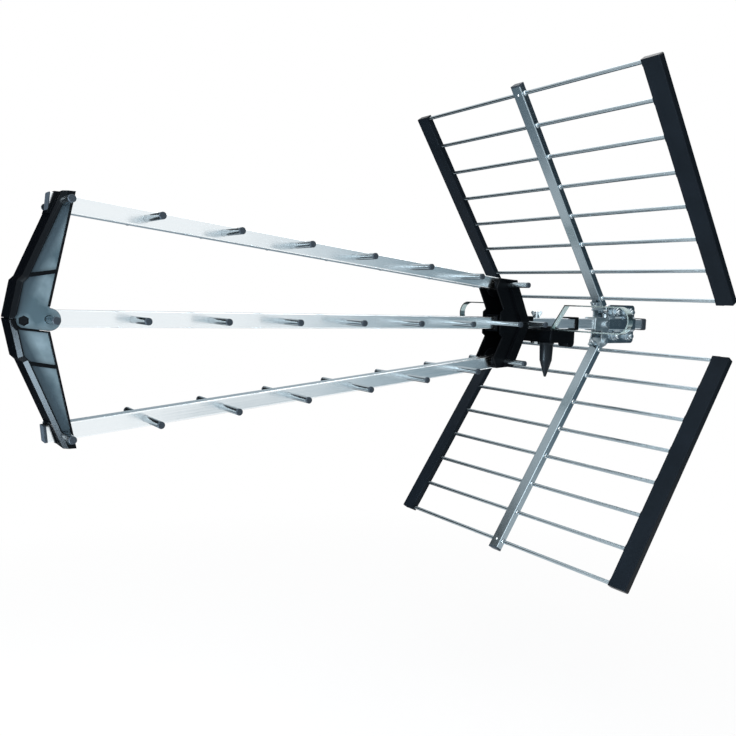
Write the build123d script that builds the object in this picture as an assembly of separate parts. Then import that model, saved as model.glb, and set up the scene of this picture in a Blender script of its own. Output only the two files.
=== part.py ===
from build123d import *
import math
import os

# Lengths are in millimetres and angles in degrees.
# The aerial is drawn about its own booms: X across, Y towards the back, Z up.
# Every piece is then set off sideways, so that the origin lies in the clamp's bore, level with the booms.

# Booms
FRONT_BOOM_SIDE = 16.0
REAR_BOOM_SIDE = 15.0
BOOM_WALL = 1.2
BOOM_CORNER = 1.5
BOOM_OVERHANG = 10.0
BOOM_SPLAY = 5.6
BOOM_JOIN_GAP = 0.5
UPPER_BOOM_FRONT = 9.0
LOWER_BOOM_FRONT = 12.2
UPPER_PLUG_FLANGE = 0.8
LOWER_PLUG_FLANGE = 2.4
BOOM_PLUG_DEPTH = 9.0
REAR_BOOM_END_Y = 57.0
REAR_CAP_LENGTH = 7.5
REAR_CAP_WALL = 1.3

# Director rods and the rods that pin the two brackets
ROD_DIAMETER = 7.0
ROD_LENGTH = 104.0
ROD_PITCH = 80.0
DIRECTORS_PER_BOOM = 6
ROD_PLUG_LENGTH = 2.5
ROD_PLUG_BEVEL = 0.5
CENTRE_REAR_ROD_Y = -257.0
OUTER_REAR_ROD_Y = -246.7
OUTER_REAR_ROD_Z = 50.0
HUB_ROD_Y = -211.0

# Front bracket, two moulded halves that part at the centre boom
FRONT_BRACKET_WIDTH = 48.0
FRONT_BRACKET_WALL = 2.5
FRONT_BRACKET_BEVEL = 4.0
FRONT_NOSE_REACH = 32.3
FRONT_KINK_REACH = 25.5
FRONT_KINK_HEIGHT = 34.0
FRONT_KINK_STEP = 4.1
FRONT_END_MARGIN = 9.5
FRONT_END_BACK = 10.0
FRONT_BACK_SET = 1.5
FRONT_END_SET = 1.0
LOWER_END_EXTRA = 3.5
LOBE_RADIUS = 10.2
TONGUE_RADIUS = 6.5
FRONT_WALL_SLOPE = 0.47
BEVEL_REACH = 6.0
BEVEL_END_SET = 1.5
COLLAR_WALL = 2.0
COLLAR_RISE_INNER = 1.5
COLLAR_RISE_OUTER = 4.5
COLLAR_DEPTH = 3.0
HALF_SPLIT_GAP = 0.4
PANEL_RIM = 3.3
PANEL_RIM_SHIFT = 1.5
PANEL_DEPTH = 1.2
PANEL_RIB = 3.0
PANEL_RIB_HEIGHT = 41.5
PANEL_RIB_SLOPE = 10.0
PANEL_TOP_RIM = 1.2
LUG_RADIUS = 7.5
HEX_REACH = 21.0
HEX_DROP = 1.3
HEX_RECESS_DEPTH = 2.8
HEX_BOLT_DIAMETER = 4.0
HEX_BOLT_FLATS = 7.0
HEX_HEAD_SINK = 0.5

# Rear bracket, one moulding shaped like an arrow head
REAR_BRACKET_WIDTH = 35.0
REAR_BRACKET_WALL = 2.5
RIDGE_WIDTH = 15.0
RIDGE_RISE = 3.5
REAR_END_MARGIN = 8.5
REAR_END_BACK = 10.2
REAR_END_FRONT = 16.3
REAR_END_DROP = 1.5
REAR_TIP_SET = 5.5
REAR_TIP_DROP = 5.0
REAR_WAIST_HEIGHT = 18.0
REAR_WAIST_REACH = 2.5
REAR_MOUTH_HEIGHT = 14.5
REAR_MOUTH_REACH = 2.5
REAR_APEX_BACK = 1.5
HUB_BOSS_RADIUS = 8.0
HUB_BOSS_HALF_WIDTH = 13.0
TONGUE_LENGTH = 26.0
TONGUE_WALL = 2.0
TONGUE_LIP = 5.5

# Dipole, dipole box and its socket
DIPOLE_Y = -175.0
DIPOLE_HALF_LENGTH = 154.0
DIPOLE_TOP_Z = 26.5
DIPOLE_BOTTOM_Z = -6.5
DIPOLE_STRIP = 9.0
DIPOLE_THICKNESS = 1.6
DIPOLE_FOOT_X = 31.0
DIPOLE_SHOULDER_X = 53.0
DIPOLE_TAB = 4.0
BOX_WIDTH = 70.0
BOX_FRONT_Y = -182.0
BOX_LENGTH = 48.0
BOX_HEIGHT = 17.5
BOX_WALL = 2.0
BOX_CORNER = 3.0
BOX_BEVEL = 1.0
BOX_INNER_CORNER = 2.0
LID_THICKNESS = 2.5
BOX_BOSS_WALL = 3.2
LATCH_RADIUS = 6.0
LATCH_BACK = 8.0
LATCH_LENGTH = 18.0
TERMINAL_LENGTH = 17.0
TERMINAL_RISE = 4.5
TERMINAL_ROOT = 1.6
TERMINAL_SET = 1.0
TERMINAL_MOUTH = 6.0
TERMINAL_ROOM = 0.8
BOARD_THICKNESS = 1.6
BOARD_DROP = 8.0
BOARD_MARGIN = 0.5
SOCKET_Y = -152.0
SOCKET_DIAMETER = 9.5
SOCKET_LENGTH = 21.0
SOCKET_FLANGE = 12.0
SOCKET_FLANGE_STAND = 1.0
SOCKET_BORE = 6.5
SOCKET_FLOOR = 4.0
BOOT_TOP_DIAMETER = 21.0
BOOT_BODY_DIAMETER = 19.0
BOOT_COLLAR_HEIGHT = 3.0
BOOT_COLLAR_SLOPE = 1.0
BOOT_TAPER = 1.0
BOOT_STRAIGHT = 26.5
BOOT_LENGTH = 50.0
BOOT_TIP_DIAMETER = 3.0
CLIP_FRONT_Y = -114.5
CLIP_LENGTH = 16.5
CLIP_WALL = 1.8
CLIP_BAND = 5.0
CLIP_CORNER = 1.5
CLIP_TONGUE_TRIM = 2.0

# Reflector, two leaning grids of rods
REFLECTOR_LEAN = 34.3
REFLECTOR_FOOT_Y = -48.0
REFLECTOR_FOOT_Z = 37.6
REFLECTOR_ROD_PITCH = 45.2
REFLECTOR_ROD_COUNT = 8
REFLECTOR_ROD_DIAMETER = 5.0
REFLECTOR_HALF_SPAN = 187.0
CHANNEL_WIDTH = 16.0
CHANNEL_DEPTH = 10.0
CHANNEL_WALL = 1.2
CHANNEL_CORNER = 1.2
UPPER_CHANNEL_FOOT = 14.0
LOWER_CHANNEL_FOOT = 22.0
CHANNEL_HEAD = 11.0
CHANNEL_PLUG_FLANGE = 2.5
CHANNEL_PLUG_GAP = 2.0
BAR_WIDTH = 24.0
BAR_DEPTH = 8.5
BAR_WALL = 2.0
BAR_CORNER = 2.0
BAR_END = 4.0
ROD_SEAT = 9.0

# Reflector bracket on the rear boom
CHEEK_THICKNESS = 2.0
CHEEK_FRONT_Y = -62.0
CHEEK_BACK_Y = -33.5
CHEEK_HEIGHT = 9.7
CHEEK_CORNER = 3.0
FOOT_BOLT_S = -15.0
FOOT_SCREW_S = -5.5
ARM_RADIUS = 7.0
UPPER_ARM_RADIUS = 5.0
TOE_RADIUS = 5.0
FOOT_WEB_LENGTH = 13.0
FOOT_WEB_SET = 1.0
BOOM_WEB_LENGTH = 12.0

# Mast clamp
MAST_DIAMETER = 25.0
CLAMP_LENGTH = 62.0
CLAMP_HEIGHT = 57.0
CLAMP_CORNER = 6.0
CLAMP_THICKNESS = 2.5
CLAMP_STEP = 3.0
CLAMP_BEND_SET = 1.0
CLAMP_CHANNEL_HALF = 8.3
CLAMP_OUTER_BEND = 3.5
CLAMP_INNER_BEND = 1.2
CLAMP_SLOT_LENGTH = 14.0
CLAMP_SLOT_WIDTH = 2.8
CLAMP_SLOT_Y = 10.6
JAW_HEIGHT = 52.0
JAW_EAR = 26.0
JAW_LIP = 3.0
U_BOLT_DIAMETER = 6.0
U_BOLT_Z = 17.9
U_BOLT_END = 4.0

# Fasteners
BOLT_DIAMETER = 5.0
BOLT_HEAD_FLATS = 8.0
BOLT_HEAD_HEIGHT = 3.5
BOLT_NUT_HEIGHT = 4.0
BOLT_END = 2.0
SCREW_HEAD_DIAMETER = 8.0
SCREW_HEAD_HEIGHT = 2.2
SCREW_END = 4.0
M6_NUT_FLATS = 10.0
M6_NUT_HEIGHT = 5.0
M6_WASHER_DIAMETER = 12.0
M6_WASHER_THICKNESS = 1.2
WING_SPAN = 15.0
WING_HEIGHT = 9.5
WING_THICKNESS = 1.8
WING_EAR_RADIUS = 2.2
WING_HUB_DIAMETER = 8.0
WING_HUB_HEIGHT = 4.5
WING_HUB_TAPER = 0.8
WING_ROOT_SET = 1.5
HUB_NUT_TURN = 35.0
FOOT_NUT_TURN = 60.0

# Clearances: a push fit, a bolt hole and moulded pieces that slide together
PUSH_FIT = 0.1
BOLT_FIT = 0.3
MOULD_FIT = 0.2
CUT_OVER = 5.0

# Places that follow from the sizes above
FRONT_STATION = -(DIRECTORS_PER_BOOM + 1) * ROD_PITCH
SPLAY = math.radians(BOOM_SPLAY)
CENTRE_FRONT_ROD_Y = CENTRE_REAR_ROD_Y + FRONT_STATION
OUTER_FRONT_ROD_Y = OUTER_REAR_ROD_Y + FRONT_STATION * math.cos(SPLAY)
OUTER_FRONT_ROD_Z = OUTER_REAR_ROD_Z - FRONT_STATION * math.sin(SPLAY)
ROD_STATIONS = [-i * ROD_PITCH for i in range(DIRECTORS_PER_BOOM + 2)]
UPPER_BOOM = Pos(0, OUTER_REAR_ROD_Y, OUTER_REAR_ROD_Z) * Rot(-BOOM_SPLAY, 0, 0)
CENTRE_BOOM = Pos(0, CENTRE_REAR_ROD_Y, 0)
REAR_BOOM_START_Y = CENTRE_REAR_ROD_Y + BOOM_OVERHANG + BOOM_JOIN_GAP
UPPER_PANEL = Pos(0, REFLECTOR_FOOT_Y, REFLECTOR_FOOT_Z) * Rot(REFLECTOR_LEAN, 0, 0)
REAR_BOOM_HALF = REAR_BOOM_SIDE / 2
BOX_TOP_Z = -REAR_BOOM_HALF
MAST_RADIUS = MAST_DIAMETER / 2
MAST_X = -(REAR_BOOM_HALF + CLAMP_THICKNESS + MAST_RADIUS)
U_BOLT_RADIUS = MAST_RADIUS + U_BOLT_DIAMETER / 2 + MOULD_FIT
CHEEK_INNER_X = CHANNEL_WIDTH / 2 + MOULD_FIT
CHEEK_OUTER_X = CHEEK_INNER_X + CHEEK_THICKNESS


def rod_x(diameter, x_from, x_to, y=0.0, z=0.0):
    """A round bar along X between two places."""
    bar = Rot(0, 90, 0) * Cylinder(diameter / 2, x_to - x_from)
    return Pos((x_from + x_to) / 2, y, z) * bar


def rod_z(diameter, z_from, z_to, x=0.0, y=0.0):
    """A round bar along Z between two places."""
    return Pos(x, y, (z_from + z_to) / 2) * Cylinder(diameter / 2, z_to - z_from)


def square_bar(width, height, y_from, y_to, corner=0.0):
    """A bar along Y, with its long edges rounded when a corner radius is given."""
    outline = RectangleRounded(width, height, corner) if corner else Rectangle(width, height)
    return extrude(Plane((0, y_to, 0), x_dir=(1, 0, 0), z_dir=(0, -1, 0)) * outline, y_to - y_from)


def square_tube(width, height, wall, corner, y_from, y_to):
    """A hollow bar along Y, open at both ends."""
    core = square_bar(width - 2 * wall, height - 2 * wall, y_from - CUT_OVER, y_to + CUT_OVER)
    return square_bar(width, height, y_from, y_to, corner) - core


def side_plate(outline, x_from, x_to):
    """A flat outline, drawn with Y across and Z up, as a plate between two places along X."""
    return Pos(x_from, 0, 0) * extrude(Plane.YZ * outline, x_to - x_from)


def outline_of(points):
    """A closed flat outline through a few corners."""
    return make_face(Polyline(*points, close=True))


def both_sides(piece):
    """A piece and its mirror image across the middle of the booms."""
    return piece + mirror(piece, about=Plane.YZ)


def hex_prism(flats, height):
    """A hexagonal prism standing on the ground plane."""
    return extrude(RegularPolygon(flats / math.sqrt(3), 6), height)


# Booms: rolled aluminium tubes with a cross hole for every rod
def front_boom(overhang):
    """One front boom, lying along Y with its rear rod at the origin."""
    front = FRONT_STATION - overhang
    tube = square_tube(FRONT_BOOM_SIDE, FRONT_BOOM_SIDE, BOOM_WALL, BOOM_CORNER, front, BOOM_OVERHANG)
    for station in ROD_STATIONS:
        tube -= rod_hole(FRONT_BOOM_SIDE, station)
    return tube


def rod_hole(width, y, z=0.0):
    """The cutter for a rod's hole right across a piece."""
    half = width / 2 + CUT_OVER
    return rod_x(ROD_DIAMETER + 2 * PUSH_FIT, -half, half, y, z)


def rear_boom():
    """The single rear boom that carries the dipole, the reflector and the clamp."""
    side = REAR_BOOM_SIDE
    tube = square_tube(side, side, BOOM_WALL, BOOM_CORNER, REAR_BOOM_START_Y, REAR_BOOM_END_Y)
    tube -= rod_hole(side, HUB_ROD_Y)
    tube -= bolt_hole_x(side, boom_bolt_place()[0], 0)
    return tube - hub_bolt_hole(-side, side)


def hub_bolt_hole(z_from, z_to):
    """The cutter for the bolt up through the dipole box and the rear boom."""
    return rod_z(BOLT_DIAMETER + 2 * BOLT_FIT, z_from - CUT_OVER, z_to + CUT_OVER, 0, DIPOLE_Y)


def boom_plug(overhang, flange_length):
    """The black plug in the open front end of an outer boom."""
    front = FRONT_STATION - overhang
    flange = square_bar(FRONT_BOOM_SIDE, FRONT_BOOM_SIDE, front - flange_length, front, BOOM_CORNER)
    inside = FRONT_BOOM_SIDE - 2 * BOOM_WALL - 2 * PUSH_FIT
    depth = min(BOOM_PLUG_DEPTH, overhang - ROD_DIAMETER / 2 - PUSH_FIT)
    return flange + square_bar(inside, inside, front, front + depth)


def rear_cap():
    """The cap pushed over the rear end of the rear boom."""
    inside = REAR_BOOM_SIDE + 2 * MOULD_FIT
    outside = inside + 2 * REAR_CAP_WALL
    back = REAR_BOOM_END_Y + REAR_CAP_WALL
    cap = square_bar(outside, outside, back - REAR_CAP_LENGTH, back, BOOM_CORNER + REAR_CAP_WALL)
    return cap - square_bar(inside, inside, back - REAR_CAP_LENGTH - CUT_OVER, REAR_BOOM_END_Y, BOOM_CORNER)


# Rods: one aluminium rod length serves as director and as bracket pin
def rod():
    """A rod across a boom at the origin, without its end plugs."""
    half = ROD_LENGTH / 2 - ROD_PLUG_LENGTH
    return rod_x(ROD_DIAMETER, -half, half)


def rod_plugs():
    """The two black plugs on the ends of a rod at the origin."""
    half = ROD_LENGTH / 2
    near = rod_x(ROD_DIAMETER, half - ROD_PLUG_LENGTH, half)
    near = chamfer(near.edges().group_by(Axis.X)[-1], ROD_PLUG_BEVEL)
    return [near, mirror(near, about=Plane.YZ)]


# Front bracket: two shells that meet at the centre boom, the upper one with a lobe over the split
def front_outline(margin):
    """The plain outline of a bracket half, drawn upwards, without the lobe."""
    rod_y = CENTRE_FRONT_ROD_Y
    kink_y = rod_y - FRONT_KINK_REACH
    top = OUTER_FRONT_ROD_Z + margin
    points = [
        (rod_y - FRONT_NOSE_REACH, HALF_SPLIT_GAP),
        (kink_y, FRONT_KINK_HEIGHT),
        (kink_y + FRONT_KINK_STEP, FRONT_KINK_HEIGHT + FRONT_KINK_STEP),
        (OUTER_FRONT_ROD_Y - FRONT_END_SET, top),
        (OUTER_FRONT_ROD_Y + FRONT_END_BACK, top),
        (rod_y - FRONT_BACK_SET, HALF_SPLIT_GAP),
    ]
    return outline_of(points)


def lobe_outline(grow=0.0):
    """The tongue of the upper half: a round eye on the centre rod and a smaller one on the hex bolt."""
    eye = Pos(CENTRE_FRONT_ROD_Y, 0) * Circle(LOBE_RADIUS + grow)
    small = Pos(CENTRE_FRONT_ROD_Y - HEX_REACH, -HEX_DROP) * Circle(TONGUE_RADIUS + grow)
    return make_hull((eye + small).edges())


def bevel_front(shell):
    """Bevels the long front edges of a bracket half, where its front wall meets its sides."""
    side_x = FRONT_BRACKET_WIDTH / 2
    rear_y = OUTER_FRONT_ROD_Y - BEVEL_END_SET
    edges = []
    for edge in shell.edges():
        middle = edge.center()
        on_side = abs(abs(middle.X) - side_x) < 0.01
        front_line = CENTRE_FRONT_ROD_Y - FRONT_NOSE_REACH + FRONT_WALL_SLOPE * middle.Z + BEVEL_REACH
        if on_side and middle.Y < min(front_line, rear_y) and middle.Z > FRONT_KINK_HEIGHT / 3:
            edges.append(edge)
    return chamfer(edges, FRONT_BRACKET_BEVEL)


def panel_field(outline):
    """The outline of a sunk field inside the rims of a side wall."""
    return Pos(PANEL_RIM_SHIFT, 0) * offset(outline, -PANEL_RIM)


def panel_recess(field):
    """The sunk fields of a side wall, parted by one rib, as a cutter for both sides."""
    rib_place = Pos(CENTRE_FRONT_ROD_Y, PANEL_RIB_HEIGHT) * Rot(0, 0, PANEL_RIB_SLOPE)
    rib = rib_place * Rectangle(4 * FRONT_NOSE_REACH, PANEL_RIB)
    outer = FRONT_BRACKET_WIDTH / 2
    return both_sides(side_plate(field - rib, outer - PANEL_DEPTH, outer + CUT_OVER))


def boom_guides(outline, y, z, radius):
    """Inner ribs that hold a boom between the two side walls."""
    inner = FRONT_BOOM_SIDE / 2 + MOULD_FIT
    rib = outline & (Pos(y, z) * Circle(radius))
    return both_sides(side_plate(rib, inner, inner + FRONT_BRACKET_WALL))


def boom_collar():
    """The square collar on the front wall round an outer boom, standing out more at its outer side."""
    half = FRONT_BOOM_SIDE / 2 + MOULD_FIT + COLLAR_WALL
    low = OUTER_FRONT_ROD_Z - half
    high = OUTER_FRONT_ROD_Z + FRONT_END_MARGIN
    wall_y = OUTER_FRONT_ROD_Y - FRONT_END_SET
    low_y = wall_y - FRONT_WALL_SLOPE * (high - low)
    points = [
        (low_y - COLLAR_RISE_INNER, low),
        (wall_y - COLLAR_RISE_OUTER, high),
        (wall_y + COLLAR_DEPTH, high),
        (low_y + COLLAR_DEPTH, low),
    ]
    return side_plate(outline_of(points), -half, half)


def front_shell(outline):
    """A bracket half: a bevelled shell with inner boom guides, open towards the back."""
    half = FRONT_BRACKET_WIDTH / 2
    wall = FRONT_BRACKET_WALL + PANEL_DEPTH
    shell = bevel_front(side_plate(outline, -half, half))
    inner = offset(outline, -wall)
    inner += Pos(2 * wall, 0) * inner
    shell -= side_plate(inner, -half + wall, half - wall)
    shell += boom_collar()
    return shell + boom_guides(outline, OUTER_FRONT_ROD_Y, OUTER_FRONT_ROD_Z, FRONT_BOOM_SIDE)


def boom_bores():
    """Cutters for the three front booms and the rods that pin them."""
    bore = FRONT_BOOM_SIDE + 2 * MOULD_FIT
    front = FRONT_STATION - BOOM_OVERHANG
    cut = square_bar(bore, bore, front - 2 * CUT_OVER, BOOM_OVERHANG + CUT_OVER)
    hole = rod_hole(FRONT_BRACKET_WIDTH, FRONT_STATION)
    centre_cut = square_bar(bore, bore, front - MOULD_FIT, BOOM_OVERHANG)
    outer = UPPER_BOOM * (cut + hole)
    return outer + mirror(outer, about=Plane.XY) + CENTRE_BOOM * (centre_cut + hole)


def hex_place():
    """Where the hex bolt crosses the front bracket: Y and Z."""
    return CENTRE_FRONT_ROD_Y - HEX_REACH, -HEX_DROP


def hex_bolt_cut():
    """The hole for the hex bolt, with a hexagonal recess in each side wall."""
    y, z = hex_place()
    half = FRONT_BRACKET_WIDTH / 2
    hole = rod_x(HEX_BOLT_DIAMETER + BOLT_FIT, -half, half, y, z)
    recess = Rot(0, 90, 0) * hex_prism(HEX_BOLT_FLATS + 2 * BOLT_FIT, CUT_OVER)
    return hole + both_sides(Pos(half - HEX_RECESS_DEPTH, y, z) * recess)


def bolt_lug(grow):
    """The lower half's two inner lugs round the hex bolt, or the room for them in the upper half."""
    y, z = hex_place()
    radius = LUG_RADIUS + grow
    lug = Pos(y, z) * Circle(radius)
    lug += Pos(y, z - LUG_RADIUS) * Rectangle(2 * radius, 2 * LUG_RADIUS)
    face = FRONT_BRACKET_WIDTH / 2 - FRONT_BRACKET_WALL - PANEL_DEPTH - MOULD_FIT
    return both_sides(side_plate(lug, face - FRONT_BRACKET_WALL - grow, face + grow))


def front_bracket_upper():
    """Upper half with the lobe that laps over the split."""
    plain = front_outline(FRONT_END_MARGIN)
    lobe = lobe_outline()
    half = FRONT_BRACKET_WIDTH / 2
    wall = FRONT_BRACKET_WALL + PANEL_DEPTH
    shell = front_shell(plain) + both_sides(side_plate(lobe, half - wall, half))
    shell -= panel_recess(panel_field(plain) + lobe_outline(PANEL_RIM_SHIFT))
    shell += boom_guides(plain + lobe, CENTRE_FRONT_ROD_Y, 0, LOBE_RADIUS)
    return shell - bolt_lug(MOULD_FIT) - boom_bores() - hex_bolt_cut()


def front_bracket_lower():
    """Lower half, cut away round the lobe, with two inner lugs for the hex bolt."""
    plain = front_outline(FRONT_END_MARGIN + LOWER_END_EXTRA)
    lobe = mirror(lobe_outline(HALF_SPLIT_GAP), about=Plane.XZ)
    rim = plain & mirror(lobe_outline(HALF_SPLIT_GAP + PANEL_RIM), about=Plane.XZ)
    half = FRONT_BRACKET_WIDTH / 2
    wall = FRONT_BRACKET_WALL + PANEL_DEPTH
    shell = front_shell(plain) + both_sides(side_plate(rim, half - wall, half))
    shell -= side_plate(lobe, -half - CUT_OVER, half + CUT_OVER)
    top_rim = mirror(lobe_outline(HALF_SPLIT_GAP + PANEL_TOP_RIM), about=Plane.XZ)
    shell -= panel_recess(panel_field(plain) - top_rim)
    shell = mirror(shell, about=Plane.XY) + bolt_lug(0)
    return shell - boom_bores() - hex_bolt_cut()


# Rear bracket: an arrow head of two walls, a back wall and a raised ridge along the back
def rear_outline():
    """The side outline of the rear bracket, the same above and below the booms."""
    end_y = OUTER_REAR_ROD_Y
    top = OUTER_REAR_ROD_Z + REAR_END_MARGIN
    mouth_y = CENTRE_REAR_ROD_Y - REAR_MOUTH_REACH
    upper = [
        (HUB_ROD_Y + REAR_APEX_BACK, 0),
        (end_y + REAR_END_BACK, top - REAR_END_DROP),
        (end_y - REAR_END_FRONT, top),
        (end_y - REAR_END_FRONT - REAR_TIP_SET, OUTER_REAR_ROD_Z - REAR_TIP_DROP),
        (CENTRE_REAR_ROD_Y + REAR_WAIST_REACH, REAR_WAIST_HEIGHT),
        (mouth_y, REAR_MOUTH_HEIGHT),
    ]
    lower = [(y, -z) for y, z in reversed(upper[1:])]
    return outline_of(upper + lower)


def ridge_outline():
    """The raised band along the back edge, in two arms with a notch between them."""
    end_y = OUTER_REAR_ROD_Y + REAR_END_BACK
    top = OUTER_REAR_ROD_Z + REAR_END_MARGIN - REAR_END_DROP
    apex_y = HUB_ROD_Y + REAR_APEX_BACK
    arm = outline_of([(apex_y, 1), (end_y, top), (end_y - RIDGE_WIDTH, top), (apex_y - RIDGE_WIDTH, 1)])
    return arm + mirror(arm, about=Plane.XZ)


def rear_bracket():
    """The moulding that gathers the three front booms onto the rear boom."""
    half = REAR_BRACKET_WIDTH / 2
    wall = REAR_BRACKET_WALL
    outline = rear_outline()
    inner = offset(outline, -wall)
    inner += Pos(-3 * wall, 0) * inner
    body = side_plate(outline, -half, half) - side_plate(inner, -half + wall, half - wall)
    ridge = side_plate(ridge_outline(), half - wall, half + RIDGE_RISE)
    body += both_sides(ridge)
    body += centre_sleeve() + end_sleeves(outline)
    body += rod_x(2 * HUB_BOSS_RADIUS, -HUB_BOSS_HALF_WIDTH, HUB_BOSS_HALF_WIDTH, HUB_ROD_Y, 0)
    return body - rear_bores()


def centre_sleeve():
    """The square sleeve round the butted ends of the centre boom and the rear boom, with its tongue."""
    outer = FRONT_BOOM_SIDE + 2 * MOULD_FIT + 2 * REAR_BRACKET_WALL
    front = CENTRE_REAR_ROD_Y - REAR_MOUTH_REACH
    sleeve = square_bar(outer, outer, front, HUB_ROD_Y + HUB_BOSS_RADIUS)
    width = REAR_BOOM_SIDE + 2 * MOULD_FIT + 2 * TONGUE_WALL
    top = REAR_BOOM_HALF + MOULD_FIT + TONGUE_WALL
    straight = TONGUE_LENGTH - width / 2
    tongue_plan = Pos(0, HUB_ROD_Y + straight / 2) * Rectangle(width, straight)
    tongue_plan += Pos(0, HUB_ROD_Y + straight) * Circle(width / 2)
    height = TONGUE_LIP + TONGUE_WALL
    return sleeve + Pos(0, 0, top - height) * extrude(tongue_plan, height)


def end_sleeves(outline):
    """Inner ribs that hold the two outer booms between the walls."""
    inner = FRONT_BOOM_SIDE / 2 + MOULD_FIT
    eye = outline & (Pos(OUTER_REAR_ROD_Y, OUTER_REAR_ROD_Z) * Circle(FRONT_BOOM_SIDE))
    rib = side_plate(eye, inner, inner + REAR_BRACKET_WALL)
    upper = both_sides(rib)
    return upper + mirror(upper, about=Plane.XY)


def rear_bores():
    """Cutters for the booms, the pinning rods and the hub rod in the rear bracket."""
    fit = 2 * MOULD_FIT
    side = FRONT_BOOM_SIDE + fit
    bore = square_bar(side, side, -8 * CUT_OVER, BOOM_OVERHANG + MOULD_FIT)
    hole = rod_hole(REAR_BRACKET_WIDTH, 0)
    outer = UPPER_BOOM * (bore + hole)
    cut = outer + mirror(outer, about=Plane.XY) + CENTRE_BOOM * (bore + hole)
    rear_side = REAR_BOOM_SIDE + fit
    cut += square_bar(rear_side, rear_side, REAR_BOOM_START_Y - MOULD_FIT, 0)
    return cut + rod_hole(REAR_BRACKET_WIDTH, HUB_ROD_Y)


# Dipole: two closed loops of flat strip, standing across the boom
def dipole_half():
    """The loop on the near side, with both ends in its terminal."""
    t = DIPOLE_THICKNESS
    top = DIPOLE_TOP_Z
    low = DIPOLE_BOTTOM_Z - t
    radius = (top - low) / 2
    bend_x = DIPOLE_HALF_LENGTH - radius
    start = (DIPOLE_FOOT_X - DIPOLE_TAB, low + t / 2)
    foot = (DIPOLE_FOOT_X, low + 1.5 * t + PUSH_FIT)
    shoulder = (DIPOLE_SHOULDER_X, top - t / 2)
    run_low = Line(start, (bend_x, low + t / 2))
    crown = (DIPOLE_HALF_LENGTH - t / 2, (top + low) / 2)
    bend = ThreePointArc((bend_x, low + t / 2), crown, (bend_x, top - t / 2))
    run_top = Line((bend_x, top - t / 2), shoulder)
    slant = Line(shoulder, foot)
    tab = Line(foot, (DIPOLE_FOOT_X - DIPOLE_TAB, foot[1]))
    strip = ribbon([run_low, bend, run_top])
    strip += ribbon([slant])
    strip += ribbon([tab])
    corner = Pos(shoulder[0], DIPOLE_Y, shoulder[1]) * Rot(90, 0, 0) * Cylinder(t / 2, DIPOLE_STRIP)
    knee = Pos(foot[0], DIPOLE_Y, foot[1]) * Rot(90, 0, 0) * Cylinder(t / 2, DIPOLE_STRIP)
    return strip + corner + knee


def ribbon(curves):
    """A flat strip that follows curves drawn with X across and Z up."""
    t = DIPOLE_THICKNESS
    solid = None
    for curve in curves:
        face = trace(curve, t)
        plane = Plane((0, DIPOLE_Y + DIPOLE_STRIP / 2, 0), x_dir=(1, 0, 0), z_dir=(0, -1, 0))
        run = extrude(plane * face, DIPOLE_STRIP)
        solid = run if solid is None else solid + run
    return solid


# Dipole box: housing under the boom, bottom lid with a round latch, board, socket and boot
def dipole_box():
    """The housing, open below, with a terminal hood for each dipole half and a boss for the wing bolt."""
    middle_y = BOX_FRONT_Y + BOX_LENGTH / 2
    floor_z = BOX_TOP_Z - BOX_HEIGHT + LID_THICKNESS
    plan = RectangleRounded(BOX_WIDTH, BOX_LENGTH, BOX_CORNER)
    block = Pos(0, middle_y, floor_z) * extrude(plan, BOX_TOP_Z - floor_z)
    block = chamfer(block.edges().group_by(Axis.Z)[-1], BOX_BEVEL)
    inside = RectangleRounded(BOX_WIDTH - 2 * BOX_WALL, BOX_LENGTH - 2 * BOX_WALL, BOX_INNER_CORNER)
    depth = BOX_TOP_Z - BOX_WALL - floor_z
    block -= Pos(0, middle_y, floor_z - CUT_OVER) * extrude(inside, depth + CUT_OVER)
    block += both_sides(terminal_hood())
    block += rod_z(BOLT_DIAMETER + 2 * BOX_BOSS_WALL, floor_z, BOX_TOP_Z - BOX_WALL / 2, 0, DIPOLE_Y)
    block -= hub_bolt_hole(floor_z, BOX_TOP_Z)
    return block - both_sides(dipole_slot())


def terminal_hood():
    """The raised terminal on the box's top that one dipole half goes into."""
    middle_x = DIPOLE_FOOT_X - TERMINAL_SET - TERMINAL_LENGTH / 2
    plan = RectangleRounded(TERMINAL_LENGTH, DIPOLE_STRIP + 2 * BOX_WALL, BOX_WALL)
    return Pos(middle_x, DIPOLE_Y, BOX_TOP_Z - TERMINAL_ROOT) * extrude(plan, TERMINAL_ROOT + TERMINAL_RISE)


def dipole_slot():
    """The room for both ends of a dipole half in its terminal hood."""
    x_from = DIPOLE_FOOT_X - DIPOLE_TAB - PUSH_FIT
    x_to = DIPOLE_FOOT_X + TERMINAL_MOUTH
    low = DIPOLE_BOTTOM_Z - DIPOLE_THICKNESS - PUSH_FIT
    high = low + 2 * DIPOLE_THICKNESS + 3 * PUSH_FIT + TERMINAL_ROOM
    wide = DIPOLE_STRIP + 2 * PUSH_FIT
    return Pos((x_from + x_to) / 2, DIPOLE_Y, (low + high) / 2) * Box(x_to - x_from, wide, high - low)


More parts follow.
